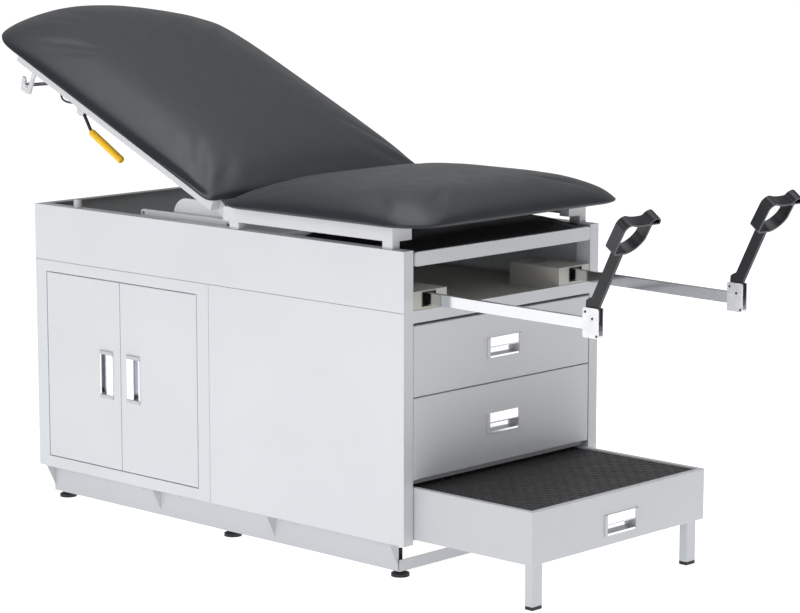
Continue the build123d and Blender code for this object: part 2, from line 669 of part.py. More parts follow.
with BuildPart() as backrest_frame:
    w0, w1 = REST_RAIL_W
    for side in (-1, 1):
        inner, outer = side * REST_RAIL_Y[0], side * REST_RAIL_Y[1]
        block(
            PIVOT_X + REST_RAIL_U[0], PIVOT_X + REST_RAIL_U[1], inner, outer, PIVOT_Z + w0, PIVOT_Z + w1
        )
        block(
            PIVOT_X + REST_RAIL_U[0] + 2,
            PIVOT_X + REST_RAIL_U[1] - 2,
            side * (REST_RAIL_Y[0] + 2),
            side * (REST_RAIL_Y[1] - 2),
            PIVOT_Z + w0 + 2,
            PIVOT_Z + w1 - 2,
            mode=Mode.SUBTRACT,
        )
        block(
            PIVOT_X - 420,
            PIVOT_X - 417,
            side * (REST_RAIL_Y[0] + 1),
            side * (REST_RAIL_Y[1] - 1),
            PIVOT_Z + w0 + 1,
            PIVOT_Z + w1 - 1,
        )
        lug = [at(-110, 31), at(-60, 31), at(10, 8), at(0, -14), at(-30, -8), at(-110, 3)]
        prism_y(lug, side * 291, side * 296)
        round_y(PIVOT_X, PIVOT_Z, 14, side * 291, side * 296)
        round_y(PIVOT_X, PIVOT_Z, PIVOT_R, side * 291, side * 296, mode=Mode.SUBTRACT)
        hook = [
            at(-721, 1),
            at(-721, -58),
            at(-730, -62),
            at(-756, -62),
            at(-762, -29),
            at(-752, -29),
            at(-744, -43),
            at(-734, -43),
            at(-732, -26),
            at(-732, 1),
        ]
        prism_y(hook, side * 307.5, side * 312.5)
        rod_x, rod_z = at(*ROLL_ROD)
        round_y(rod_x, rod_z, ROLL_ROD_R + 0.05, side * 307.5, side * 312.5, mode=Mode.SUBTRACT)
        cheek = [at(-480, 8), at(-480, 26), at(-260, 26), at(-260, 8), at(-362, -18), at(-372, -28), at(-388, -28), at(-398, -18)]
        prism_y(cheek, side * 14, side * 20)
    for tube_u in CROSS_TUBE_U:
        tube_x, tube_z = at(tube_u, 17)
        round_y(tube_x, tube_z, CROSS_TUBE_R, -REST_RAIL_Y[0], REST_RAIL_Y[0])
    for tube_u in CROSS_TUBE_U:
        tube_x, tube_z = at(tube_u, 17)
        round_y(tube_x, tube_z, CROSS_TUBE_R - 2, -290, 290, mode=Mode.SUBTRACT)
    head_x, head_z = at(*SPRING_HEAD)
    round_y(head_x, head_z, 4, -20, 20)
    lever_x, lever_z = at(*LEVER_PIVOT)
    block(lever_x - 20, lever_x + 20, -REST_RAIL_Y[0], LEVER_Y + 9, PIVOT_Z + 1, PIVOT_Z + 4)
    for plate_y in (LEVER_Y - 9, LEVER_Y + 6):
        plate = [
            (lever_x - 20, PIVOT_Z + 1),
            (lever_x + 20, PIVOT_Z + 1),
            (lever_x + 11, lever_z - 6),
            (lever_x, lever_z - 11),
            (lever_x - 11, lever_z - 6),
        ]
        prism_y(plate, plate_y, plate_y + 3)
    round_y(lever_x, lever_z, 4, LEVER_Y - 10, LEVER_Y + 10)
save(raised(backrest_frame.part), "backrest_frame")

with BuildPart() as backrest_pins:
    for side in (-1, 1):
        round_y(PIVOT_X, PIVOT_Z, PIVOT_R, side * 270, side * 296)
        round_y(PIVOT_X, PIVOT_Z, 9, side * 270, side * 275.5)
        round_y(PIVOT_X, PIVOT_Z, 9, side * 280.5, side * 291)
save(raised(backrest_pins.part), "backrest_pins")

with BuildPart() as backrest_pad:
    crown_centre = HEAD_U + HEAD_R
    corner_u = crown_centre - sqrt((HEAD_R - CORNER_R) ** 2 - (PAD_HALF - CORNER_R) ** 2)
    reach = HEAD_R / (HEAD_R - CORNER_R)
    join_u = crown_centre + (corner_u - crown_centre) * reach
    join_y = (PAD_HALF - CORNER_R) * reach
    bend_u = corner_u - CORNER_R * sin(radians(30))
    bend_y = PAD_HALF - CORNER_R + CORNER_R * cos(radians(30))
    with BuildSketch(Plane.XY.offset(PIVOT_Z + REST_RAIL_W[1])):
        with BuildLine():
            Line((PIVOT_X, -PAD_HALF), (PIVOT_X + corner_u, -PAD_HALF))
            ThreePointArc(
                (PIVOT_X + corner_u, -PAD_HALF), (PIVOT_X + bend_u, -bend_y), (PIVOT_X + join_u, -join_y)
            )
            ThreePointArc(
                (PIVOT_X + join_u, -join_y), (PIVOT_X + HEAD_U, 0), (PIVOT_X + join_u, join_y)
            )
            ThreePointArc(
                (PIVOT_X + join_u, join_y), (PIVOT_X + bend_u, bend_y), (PIVOT_X + corner_u, PAD_HALF)
            )
            Line((PIVOT_X + corner_u, PAD_HALF), (PIVOT_X, PAD_HALF))
            Line((PIVOT_X, PAD_HALF), (PIVOT_X, -PAD_HALF))
        make_face()
    extrude(amount=REST_PAD_T)
    crown(PIVOT_X + HEAD_U / 2, PIVOT_Z + REST_RAIL_W[1] + REST_PAD_T, REST_CROWN_R)
    round_pad(backrest_pad)
    with BuildSketch(Plane.XZ.offset(-400)):
        with BuildLine():
            ThreePointArc(at(-11.5, 37), at(-20, 53), at(-40, 68))
            ThreePointArc(at(-40, 68), at(-85, 87), at(-150, 101))
            Polyline(at(-150, 101), at(-1000, 110), at(-1000, 30), at(-11.5, 30), at(-11.5, 37))
        make_face()
    extrude(amount=800, mode=Mode.INTERSECT)
save(raised(backrest_pad.part), "backrest_pad")

with BuildPart() as paper_roll_rod:
    rod_x, rod_z = at(*ROLL_ROD)
    round_y(rod_x, rod_z, ROLL_ROD_R, -320, 320)
    for side in (-1, 1):
        round_y(rod_x, rod_z, 7, side * 302, side * 306.5)
save(raised(paper_roll_rod.part), "paper_roll_rod")

# ---- Release lever, its grip and the cable to the gas spring's valve
BEND = (-526.0, -54.0)
with BuildPart() as release_lever:
    bend_x, bend_z = at(*BEND)
    from_x, from_z = at(*GRIP_FROM)
    to_x, to_z = at(*GRIP_TO)
    round_y(lever_x, lever_z, 8, LEVER_Y - 5, LEVER_Y + 5)
    rod_between((lever_x + 4, LEVER_Y, lever_z - 2.4), (bend_x, LEVER_Y, bend_z), 4)
    with Locations((bend_x, LEVER_Y, bend_z)):
        Sphere(4)
    rod_between((bend_x, LEVER_Y, bend_z), (to_x - 3, LEVER_Y, to_z + 0.27), 4)
    round_y(lever_x, lever_z, 4.05, LEVER_Y - 5, LEVER_Y + 5, mode=Mode.SUBTRACT)
save(raised(release_lever.part), "release_lever")

with BuildPart() as lever_grip:
    rod_between((from_x, LEVER_Y, from_z), (to_x, LEVER_Y, to_z), 9)
    fillet(lever_grip.edges(), 4)
    rod_between((bend_x, LEVER_Y, bend_z), (to_x - 3, LEVER_Y, to_z + 0.27), 4, mode=Mode.SUBTRACT)
save(raised(lever_grip.part), "lever_grip")

cable_points = [(PIVOT_X + u, y, PIVOT_Z + w) for u, y, w in CABLE_ROUTE]
with BuildPart() as release_cable:
    with BuildLine() as route:
        FilletPolyline(*cable_points, radius=list(CABLE_RADII))
    with BuildSketch(Plane(origin=route.line @ 0, z_dir=route.line % 0)):
        Circle(CABLE_D / 2)
    sweep()
save(raised(release_cable.part), "release_cable")
cable_length = sum(edge.length for edge in route.edges())
swept = release_cable.part.volume
section = 3.14159265 * CABLE_D**2 / 4
print("release_cable length", round(cable_length, 1), "radii", CABLE_RADII)
print("release_cable volume against section x length", round(swept / (section * cable_length), 4))


def sleeve(start, end, near_start, length, radius, mode=Mode.ADD):
    """A sleeve round the cable, a given way along one straight run."""
    along = (Vector(*end) - Vector(*start)).normalized()
    first = Vector(*start) + along * near_start
    last = first + along * length
    rod_between(tuple(first), tuple(last), radius, mode)


with BuildPart() as cable_clips:
    sleeve(cable_points[0], cable_points[1], 1, 12, 4)
    sleeve(cable_points[5], cable_points[4], 1, 14, 4)
    sleeve(cable_points[3], cable_points[4], 98, 10, 5)
    clip_x, clip_y, clip_z = PIVOT_X - 480, -53.0, PIVOT_Z - 6
    block(clip_x - 5, clip_x + 5, clip_y - 3, clip_y + 3, clip_z, PIVOT_Z + 4.5)
    bore = CABLE_D / 2 + 0.1
    sleeve(cable_points[0], cable_points[1], 0, 40, bore, Mode.SUBTRACT)
    sleeve(cable_points[5], cable_points[4], 0, 30, bore, Mode.SUBTRACT)
    sleeve(cable_points[3], cable_points[4], 90, 30, bore, Mode.SUBTRACT)
save(raised(cable_clips.part), "cable_clips")

# ---- Gas spring, drawn along its own axis from the lower pivot
foot_x, foot_z = SPRING_FOOT
spring_dir = (cos(radians(SPRING_ANGLE)), 0, sin(radians(SPRING_ANGLE)))
spring_plane = Plane(origin=(foot_x, 0, foot_z), x_dir=(0, 1, 0), z_dir=spring_dir)

with BuildPart(spring_plane) as spring_cylinder:
    round_z(0, 0, CYLINDER_R, 14, 249)
    fillet(spring_cylinder.faces().sort_by(Axis.Z)[-1].edges(), 2)
    with Locations(Location((0, 0, 0), (0, 90, 0))):
        Cylinder(11.5, 24)
    block(-9, 9, -9, 9, 4, 18)
    with Locations(Location((0, 0, 0), (0, 90, 0))):
        Cylinder(5.05, 30, mode=Mode.SUBTRACT)
    round_z(0, 0, ROD_R + 0.05, 118, 250, mode=Mode.SUBTRACT)
save(spring_cylinder.part, "spring_cylinder")

with BuildPart(spring_plane) as spring_rod:
    round_z(0, 0, ROD_R, 172, 396)
    block(-13, 13, -19, 19, SPRING_LENGTH - 20, SPRING_LENGTH + 20)
    fillet(spring_rod.edges().filter_by(Axis.Y), 2)
    with Locations(Location((0, 0, SPRING_LENGTH), (0, 90, 0))):
        Cylinder(13, 30, mode=Mode.SUBTRACT)
    round_z(0, 0, 3, SPRING_LENGTH + 20, SPRING_LENGTH + 26)
save(spring_rod.part, "spring_rod")

# ---- Stirrup housings on the deck, their slot liners and the swivels
with BuildPart() as stirrup_housings:
    for side in (-1, 1):
        y_in, y_out = side * HOUSING_Y[0], side * HOUSING_Y[1]
        block(HOUSING_X, -SHEET, y_in, y_out, DECK_Z, HOUSING_Z)
        block(
            HOUSING_X - 1,
            -SHEET - 2,
            y_in + side * 2,
            y_out - side * 2,
            DECK_Z,
            HOUSING_Z - 2,
            mode=Mode.SUBTRACT,
        )
        middle = side * SWIVEL_Y
        block(-5, 0, middle - SLOT_HALF - 2, middle + SLOT_HALF + 2, SLOT_Z[0] - 2, SLOT_Z[1], mode=Mode.SUBTRACT)
        round_z(SWIVEL_X, middle, 25, HOUSING_Z - 3, HOUSING_Z + 1, mode=Mode.SUBTRACT)
    for side in (-1, 1):
        round_z(SWIVEL_X, side * SWIVEL_Y, 5, DECK_Z, DECK_Z + 12)
save(stirrup_housings.part, "stirrup_housings")

with BuildPart() as slot_liners:
    for side in (-1, 1):
        middle = side * SWIVEL_Y
        block(-5, -0.5, middle - SLOT_HALF - 2, middle + SLOT_HALF + 2, SLOT_Z[0] - 2, SLOT_Z[1])
        block(
            -6, 0, middle - SLOT_HALF, middle + SLOT_HALF, SLOT_Z[0] - 0.5, SLOT_Z[1] - 1.5, mode=Mode.SUBTRACT
        )
save(slot_liners.part, "slot_liners")


# ---- Stirrups: swivel block, chrome bar, bracket, and the folding arm with its loop
def skewed(v, s):
    """A loop point, v across and s up, leaned a little towards the near side as it rises."""
    return (v - LOOP_SKEW * s, s)


def loop_outline(plane):
    """The stirrup loop seen along its ribbon's width, standing on the arm's top."""
    top = LOOP_H
    with BuildSketch(plane) as outline:
        with BuildLine():
            Line(skewed(-30, 10), skewed(-30, top - 20))
            ThreePointArc(skewed(-30, top - 20), skewed(-24, top - 5.5), skewed(-10, top))
            ThreePointArc(skewed(-10, top), skewed(16, top - 5), skewed(42, top - 4))
            ThreePointArc(skewed(42, top - 4), skewed(59, top + 9), skewed(75, top - 5))
            Polyline(skewed(75, top - 5), skewed(75, top - 9), skewed(52, top - 9), skewed(52, 38))
            ThreePointArc(skewed(52, 38), skewed(37, 13), skewed(10, 0))
            Line(skewed(10, 0), skewed(-20, 0))
            ThreePointArc(skewed(-20, 0), skewed(-27.1, 2.9), skewed(-30, 10))
        make_face()
        with BuildLine():
            Line(skewed(-25, 10.5), skewed(-25, top - 20))
            ThreePointArc(skewed(-25, top - 20), skewed(-20.4, top - 9.6), skewed(-10, top - 5))
            ThreePointArc(skewed(-10, top - 5), skewed(14, top - 10), skewed(38, top - 9))
            ThreePointArc(skewed(38, top - 9), skewed(44.4, top - 11.6), skewed(47, top - 17))
            Line(skewed(47, top - 17), skewed(47, 39))
            ThreePointArc(skewed(47, 39), skewed(33.8, 17), skewed(10, LOOP_T))
            Line(skewed(10, LOOP_T), skewed(-20, LOOP_T))
            ThreePointArc(skewed(-20, LOOP_T), skewed(-23.6, 6.6), skewed(-25, 10.5))
        make_face(mode=Mode.SUBTRACT)
        with BuildLine():
            ThreePointArc(skewed(47, top - 5), skewed(59, top + 5.5), skewed(71, top - 5.5))
            Line(skewed(71, top - 5.5), skewed(47, top - 5))
        make_face(mode=Mode.SUBTRACT)
    return outline.sketch


def stirrup(side, turn, bracket_x):
    """The four parts of one stirrup, drawn straight and then turned about the swivel."""
    y = side * SWIVEL_Y
    upright = Axis((SWIVEL_X, y, 0), (0, 0, 1))

    with BuildPart() as swivel:
        round_z(SWIVEL_X, y, SWIVEL_R, DECK_Z + 0.4, 637.4)
        block(
            SWIVEL_X - 30,
            SWIVEL_X + 30,
            y - BAR_HALF_T - 0.4,
            y + BAR_HALF_T + 0.4,
            STIRRUP_BAR_Z[0] - 0.4,
            STIRRUP_BAR_Z[1] + 0.4,
            mode=Mode.SUBTRACT,
        )
        round_z(SWIVEL_X, y, 5.05, DECK_Z, DECK_Z + 12.5, mode=Mode.SUBTRACT)

    with BuildPart() as bar:
        block(BAR_TAIL_X, bracket_x, y - BAR_HALF_T, y + BAR_HALF_T, *STIRRUP_BAR_Z)
        fillet(bar.edges().filter_by(Axis.X), 1.5)

    fold_x = bracket_x + FOLD_AT[0]
    fold_z = FOLD_AT[1]
    half = BRACKET_GAP + BRACKET_PLATE
    with BuildPart() as bracket:
        block(bracket_x, bracket_x + BRACKET_L, y - half, y + half, *BRACKET_Z)
        fillet(bracket.edges().filter_by(Axis.Y), 4)
        block(
            bracket_x + BRACKET_PLATE,
            bracket_x + BRACKET_L + 1,
            y - BRACKET_GAP,
            y + BRACKET_GAP,
            BRACKET_Z[0] - 1,
            BRACKET_Z[1] + 1,
            mode=Mode.SUBTRACT,
        )
        round_y(fold_x, fold_z, 4, y - half, y + half)
        round_y(bracket_x + 7, 647, 2.5, y - half - 0.3, y + half + 0.3)
        round_y(bracket_x + 38, 599, 2.5, y - half - 0.3, y + half + 0.3)

    line_x = bracket_x + ARM_AT
    lean_x, lean_z = sin(radians(ARM_LEAN)), cos(radians(ARM_LEAN))
    with BuildPart() as arm:
        root_s, root_z = 25.6, fold_z + 25.6 * lean_z
        root_x = line_x + root_s * lean_x
        foot_x, foot_z = line_x + ARM_L * lean_x, fold_z + ARM_L * lean_z
        top_x, top_z = foot_x + 3 * lean_x, foot_z + 3 * lean_z
        out_x, out_z = lean_z * ARM_W / 2, -lean_x * ARM_W / 2
        web = [
            (bracket_x + 38, fold_z),
            (root_x + out_x + 3, root_z + out_z + 6),
            (top_x + out_x, top_z + out_z),
            (top_x - out_x, top_z - out_z),
            (root_x - out_x + 8, root_z - out_z + 16),
            (bracket_x + 9, BRACKET_Z[1] + 17),
            (bracket_x + 5, BRACKET_Z[1] + 14),
            (bracket_x + 4, BRACKET_Z[1] + 0.8),
            (bracket_x + 14, BRACKET_Z[1] + 0.8),
            (bracket_x + 16, fold_z + 2),
            (fold_x, fold_z - 4),
        ]
        prism_y(web, y - ARM_T / 2, y + ARM_T / 2)
        round_y(fold_x, fold_z, 12, y - ARM_T / 2, y + ARM_T / 2)
        round_y(fold_x, fold_z, 9, y - BRACKET_GAP + 0.4, y + BRACKET_GAP - 0.4)
        round_y(fold_x, fold_z, 4.05, y - 10, y + 10, mode=Mode.SUBTRACT)
        width_dir = (cos(radians(LOOP_LEAN)), 0, -sin(radians(LOOP_LEAN)))
        loop_plane = Plane(origin=(foot_x, y, foot_z), x_dir=(0, 1, 0), z_dir=width_dir)
        extrude(loop_outline(loop_plane.offset(-LOOP_W / 2)), amount=LOOP_W)
    return [part.part.rotate(upright, turn) for part in (swivel, bar, bracket, arm)]


for name, place in STIRRUPS.items():
    swivel_part, bar_part, bracket_part, arm_part = stirrup(**place)
    save(swivel_part, f"{name}_swivel")
    save(bar_part, f"{name}_stirrup_bar")
    save(bracket_part, f"{name}_stirrup_bracket")
    save(arm_part, f"{name}_stirrup_arm")
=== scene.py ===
"""Looks of the medical exam table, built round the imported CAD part."""

from math import cos, pi, radians, sin

import bmesh
import bpy
import numpy as np
from mathutils import Matrix, Vector


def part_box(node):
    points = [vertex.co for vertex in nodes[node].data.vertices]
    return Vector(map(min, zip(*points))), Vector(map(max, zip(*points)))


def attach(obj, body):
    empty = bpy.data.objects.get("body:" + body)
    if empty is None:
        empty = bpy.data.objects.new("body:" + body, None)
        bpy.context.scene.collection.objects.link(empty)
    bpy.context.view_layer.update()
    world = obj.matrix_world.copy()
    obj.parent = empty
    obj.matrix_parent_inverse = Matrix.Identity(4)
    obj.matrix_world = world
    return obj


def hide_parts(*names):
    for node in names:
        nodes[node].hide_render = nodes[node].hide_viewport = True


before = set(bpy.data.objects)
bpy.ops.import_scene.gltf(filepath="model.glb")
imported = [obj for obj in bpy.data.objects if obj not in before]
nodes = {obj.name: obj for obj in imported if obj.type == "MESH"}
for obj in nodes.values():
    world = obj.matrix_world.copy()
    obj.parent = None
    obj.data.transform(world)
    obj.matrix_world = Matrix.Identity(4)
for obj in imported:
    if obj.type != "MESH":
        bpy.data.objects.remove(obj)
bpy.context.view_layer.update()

FRONT_X = 0.408
PIVOT = Vector((FRONT_X - 0.572, 0, 0.750))
RAISED = radians(24.1)
SIDES = (("near", -1), ("far", 1))
PULL_MIDDLE = 0.3405
PULL_CAP = 0.048

PAD_POINTS = 220
CROWN_RINGS = 44
DOME_POWER = 3.6
CLOTH_FRAMES = 20
CLOTH_PRESSURE = 4.0
CLOTH_CAP = 0.004
RELAX_STEPS = 8

MAT_PITCH = 0.0165
LOZENGE_LENGTH = 0.0165
LOZENGE_WIDTH = 0.0050
LOZENGE_HEIGHT = 0.0013

# Place and size of the thin dark strip that paints the shadow in the joint below each apron.
SEAM_SHADOW_MIDDLE_X = -0.614
SEAM_SHADOW_SIZE = (1.2276, 0.0004, 0.0013)
SEAM_SHADOW_Y = 0.3250
SEAM_SHADOW_Z = 0.596

BAR_Y = 0.245
SWIVEL_X = -0.119
BRACKET_FACE = 0.0087
RIVETS = ((0.007, 0.647), (0.026, 0.634), (0.038, 0.599))
RIVET_RADIUS = 0.0027
RIVET_HEIGHT = 0.0014


# ---- Materials
class Graph:
    """A material's nodes, with short ways to add and join them."""

    def __init__(self, name):
        self.material = bpy.data.materials.new(name)
        self.material.use_nodes = True
        self.tree = self.material.node_tree
        self.shader = self.tree.nodes["Principled BSDF"]
        self.place = self.add("ShaderNodeTexCoord").outputs["Object"]

    def add(self, kind, **values):
        node = self.tree.nodes.new(kind)
        for key, value in values.items():
            setattr(node, key, value)
        return node

    def join(self, source, target):
        self.tree.links.new(source, target)

    def noise(self, scale, detail=2.0, rough=0.5, stretch=(1, 1, 1)):
        mapping = self.add("ShaderNodeMapping")
        mapping.inputs["Scale"].default_value = stretch
        self.join(self.place, mapping.inputs["Vector"])
        node = self.add("ShaderNodeTexNoise")
        node.inputs["Scale"].default_value = scale
        node.inputs["Detail"].default_value = detail
        node.inputs["Roughness"].default_value = rough
        self.join(mapping.outputs[0], node.inputs["Vector"])
        return node.outputs["Fac"]

    def ramp(self, source, low, high, first, second):
        node = self.add("ShaderNodeMapRange")
        node.inputs["From Min"].default_value = low
        node.inputs["From Max"].default_value = high
        node.inputs["To Min"].default_value = first
        node.inputs["To Max"].default_value = second
        self.join(source, node.inputs["Value"])
        return node.outputs["Result"]

    def mix(self, share, first, second):
        node = self.add("ShaderNodeMix", data_type="RGBA")
        node.inputs["A"].default_value = (*first, 1)
        node.inputs["B"].default_value = (*second, 1)
        self.join(share, node.inputs["Factor"])
        return node.outputs["Result"]

    def bump(self, height, strength, distance, edge=0.0):
        node = self.add("ShaderNodeBump")
        node.inputs["Strength"].default_value = strength
        node.inputs["Distance"].default_value = distance
        self.join(height, node.inputs["Height"])
        if edge:
            bevel = self.add("ShaderNodeBevel", samples=4)
            bevel.inputs["Radius"].default_value = edge
            self.join(bevel.outputs[0], node.inputs["Normal"])
        self.join(node.outputs[0], self.shader.inputs["Normal"])

    def set(self, **values):
        for key, value in values.items():
            self.shader.inputs[key.replace("_", " ")].default_value = value


def painted(name, colour, rough=0.42, edge=0.0012):
    """Powder coat: a faint orange peel and a little dirt in the tone."""
    g = Graph(name)
    cloud = g.noise(3.0, 3.0)
    shade = tuple(c * 0.965 for c in colour)
    g.join(g.mix(g.ramp(cloud, 0.35, 0.65, 0.0, 1.0), colour, shade), g.shader.inputs["Base Color"])
    g.join(g.ramp(g.noise(40.0), 0.3, 0.7, rough - 0.04, rough + 0.05), g.shader.inputs["Roughness"])
    g.bump(g.noise(420.0, 1.0), 0.10, 0.0004, edge)
    g.set(Metallic=0.0, Specular_IOR_Level=0.5, Coat_Weight=0.12, Coat_Roughness=0.25)
    return g.material


def vinyl(name, colour):
    """Upholstery vinyl: a fine grain, and broad faint creasing."""
    g = Graph(name)
    cell = g.add("ShaderNodeTexVoronoi", feature="DISTANCE_TO_EDGE")
    cell.inputs["Scale"].default_value = 620.0
    g.join(g.place, cell.inputs["Vector"])
    grain = g.ramp(cell.outputs["Distance"], 0.0, 0.25, 0.0, 1.0)
    slow = g.noise(9.0, 4.0, 0.55)
    add = g.add("ShaderNodeMath", operation="MULTIPLY_ADD")
    g.join(slow, add.inputs[0])
    add.inputs[1].default_value = 2.4
    g.join(grain, add.inputs[2])
    tone = tuple(c * 1.18 for c in colour)
    g.join(g.mix(g.ramp(slow, 0.35, 0.65, 0.0, 1.0), colour, tone), g.shader.inputs["Base Color"])
    g.join(g.ramp(g.noise(25.0, 3.0), 0.3, 0.7, 0.34, 0.41), g.shader.inputs["Roughness"])
    g.bump(add.outputs[0], 0.16, 0.0005)
    g.set(Specular_IOR_Level=0.5, Sheen_Weight=0.03, Sheen_Roughness=0.5)
    return g.material


def metal(name, colour, rough, stretch=(1, 1, 1), edge=0.0006):
    """Bare or plated metal with a faint drawn texture."""
    g = Graph(name)
    streak = g.noise(60.0, 3.0, 0.6, stretch)
    g.join(g.ramp(streak, 0.3, 0.7, rough * 0.8, rough * 1.3), g.shader.inputs["Roughness"])
    g.join(
        g.mix(g.ramp(streak, 0.3, 0.7, 0.0, 1.0), colour, tuple(c * 0.94 for c in colour)),
        g.shader.inputs["Base Color"],
    )
    g.bump(streak, 0.04, 0.0003, edge)
    g.set(Metallic=1.0)
    return g.material


def moulded(name, colour, rough, grain=300.0, strength=0.12, edge=0.0008):
    """Plastic or rubber with a fine moulded texture."""
    g = Graph(name)
    slow = g.noise(12.0, 2.0)
    g.join(
        g.mix(g.ramp(slow, 0.35, 0.65, 0.0, 1.0), colour, tuple(c * 1.15 for c in colour)),
        g.shader.inputs["Base Color"],
    )
    g.join(g.ramp(g.noise(30.0), 0.3, 0.7, rough - 0.05, rough + 0.06), g.shader.inputs["Roughness"])
    g.bump(g.noise(grain, 2.0), strength, 0.0004, edge)
    g.set(Specular_IOR_Level=0.5)
    return g.material


def pull(name, axis, centre):
    """A chromed pull whose end caps, past PULL_CAP from its centre, are grey plastic."""
    g = Graph(name)
    parts = g.add("ShaderNodeSeparateXYZ")
    g.join(g.place, parts.inputs[0])
    off = g.add("ShaderNodeMath", operation="SUBTRACT")
    off.inputs[1].default_value = centre
    g.join(parts.outputs[axis], off.inputs[0])
    away = g.add("ShaderNodeMath", operation="ABSOLUTE")
    g.join(off.outputs[0], away.inputs[0])
    cap = g.ramp(away.outputs[0], PULL_CAP - 0.0001, PULL_CAP + 0.0001, 0.0, 1.0)
    g.join(g.mix(cap, (0.80, 0.81, 0.84), (0.56, 0.56, 0.57)), g.shader.inputs["Base Color"])
    g.join(g.ramp(cap, 0.0, 1.0, 1.0, 0.1), g.shader.inputs["Metallic"])
    g.join(g.ramp(cap, 0.0, 1.0, 0.13, 0.38), g.shader.inputs["Roughness"])
    g.bump(g.noise(80.0, 2.0), 0.03, 0.0003, 0.0008)
    return g.material


SIDE_PAINT = painted("side_paint", (0.70, 0.725, 0.75))
# A darker copy of the side paint: painted shade for the foot-end faces, which are the same white paint as
# the sides.
SHADED_END_PAINT = painted("shaded_end_paint", (0.575, 0.59, 0.615))
FRAME_PAINT = painted("frame_paint", (0.70, 0.71, 0.73))
CARCASS_PAINT = painted("carcass_paint", (0.47, 0.46, 0.42), 0.5)
VINYL = vinyl("vinyl", (0.008, 0.0115, 0.017))
# A blacker copy of the seat vinyl: painted shade for the leg-rest pad, which lies in the shadow under the
# seat.
SHADED_VINYL = vinyl("shaded_vinyl", (0.006, 0.006, 0.007))
CHROME = metal("chrome", (0.74, 0.75, 0.77), 0.11, (1, 12, 12))
ZINC = metal("zinc", (0.55, 0.56, 0.57), 0.34, (1, 8, 8))
CAST = metal("cast_bracket", (0.78, 0.79, 0.81), 0.30)
BLACK_PLASTIC = moulded("black_plastic", (0.018, 0.020, 0.026), 0.30)
BLACK_ARM = moulded("black_arm", (0.007, 0.008, 0.012), 0.36)
BLACK_METAL = moulded("black_metal", (0.016, 0.016, 0.017), 0.34)
RUBBER = moulded("rubber", (0.014, 0.014, 0.015), 0.60, 220.0, 0.25)
MAT_RUBBER = moulded("mat_rubber", (0.012, 0.012, 0.013), 0.46, 260.0, 0.2)
YELLOW = moulded("yellow_grip", (0.93, 0.54, 0.018), 0.42, 180.0, 0.3)
PALE_RUBBER = moulded("pale_rubber", (0.50, 0.51, 0.53), 0.55, 220.0, 0.2)
# Dark grey strip colour: painted shadow for the gap under each apron, where the flush panels cast none.
SEAM_SHADOW_PAINT = painted("seam_shadow", (0.30, 0.305, 0.31), 0.6)
RIVET = metal("rivet", (0.10, 0.10, 0.11), 0.35)

FINISH = {
    "near_side_panel": SIDE_PAINT,
    "far_side_panel": SIDE_PAINT,
    "near_apron": SIDE_PAINT,
    "far_apron": SIDE_PAINT,
    "left_door": SIDE_PAINT,
    "right_door": SIDE_PAINT,
    # The foot-end faces below take the darker paint copy, which is painted shade.
    "rear_panel": SHADED_END_PAINT,
    "front_frame": SHADED_END_PAINT,
    "drawer_1_front": SHADED_END_PAINT,
    "drawer_2_front": SHADED_END_PAINT,
    "step_box": SHADED_END_PAINT,
    "step_legs": SHADED_END_PAINT,
    "leg_rest_tray": SHADED_END_PAINT,
    "inner_carcass": CARCASS_PAINT,
    "drawer_1_box": CARCASS_PAINT,
    "drawer_2_box": CARCASS_PAINT,
    "base_frame": SHADED_END_PAINT,
    "stirrup_housings": CARCASS_PAINT,
    "seat_frame": FRAME_PAINT,
    "backrest_frame": FRAME_PAINT,
    "hinge_plates": FRAME_PAINT,
    "tie_bars": FRAME_PAINT,
    "spring_anchor": FRAME_PAINT,
    "fixed_runners": ZINC,
    "backrest_pins": ZINC,
    "door_hinge_pins": ZINC,
    "panel_screws": ZINC,
    "near_swivel": ZINC,
    "far_swivel": ZINC,
    "near_stirrup_bar": CHROME,
    "far_stirrup_bar": CHROME,
    "paper_roll_rod": CHROME,
    "spring_rod": CHROME,
    "near_stirrup_bracket": CAST,
    "far_stirrup_bracket": CAST,
    "near_stirrup_arm": BLACK_ARM,
    "far_stirrup_arm": BLACK_ARM,
    "slot_liners": BLACK_PLASTIC,
    "cable_clips": BLACK_PLASTIC,
    "release_cable": BLACK_PLASTIC,
    "release_lever": BLACK_METAL,
    "spring_cylinder": BLACK_METAL,
    "step_mat": MAT_RUBBER,
    "step_leg_caps": RUBBER,
    "rubber_buffers": PALE_RUBBER,
    "lever_grip": YELLOW,
    "seat_pad": VINYL,
    "backrest_pad": VINYL,
    "leg_rest_pad": SHADED_VINYL,
    "drawer_1_handle": pull("drawer_1_pull", "Y", 0.0),
    "drawer_2_handle": pull("drawer_2_pull", "Y", 0.0),
    "step_handle": pull("step_pull", "Y", 0.0),
    "left_door_handle": pull("left_door_pull", "Z", PULL_MIDDLE),
    "right_door_handle": pull("right_door_pull", "Z", PULL_MIDDLE),
}
for name, node in nodes.items():
    node.data.materials.clear()
    node.data.materials.append(FINISH.get(name, RUBBER))


# ---- Meshes
def new_piece(name, mesh, material, body):
    """A named piece that rides on a body."""
    piece = bpy.data.objects.new(name, mesh)
    bpy.context.scene.collection.objects.link(piece)
    mesh.materials.clear()
    mesh.materials.append(material)
    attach(piece, body)
    return piece


def smooth(mesh):
    for face in mesh.polygons:
        face.use_smooth = True


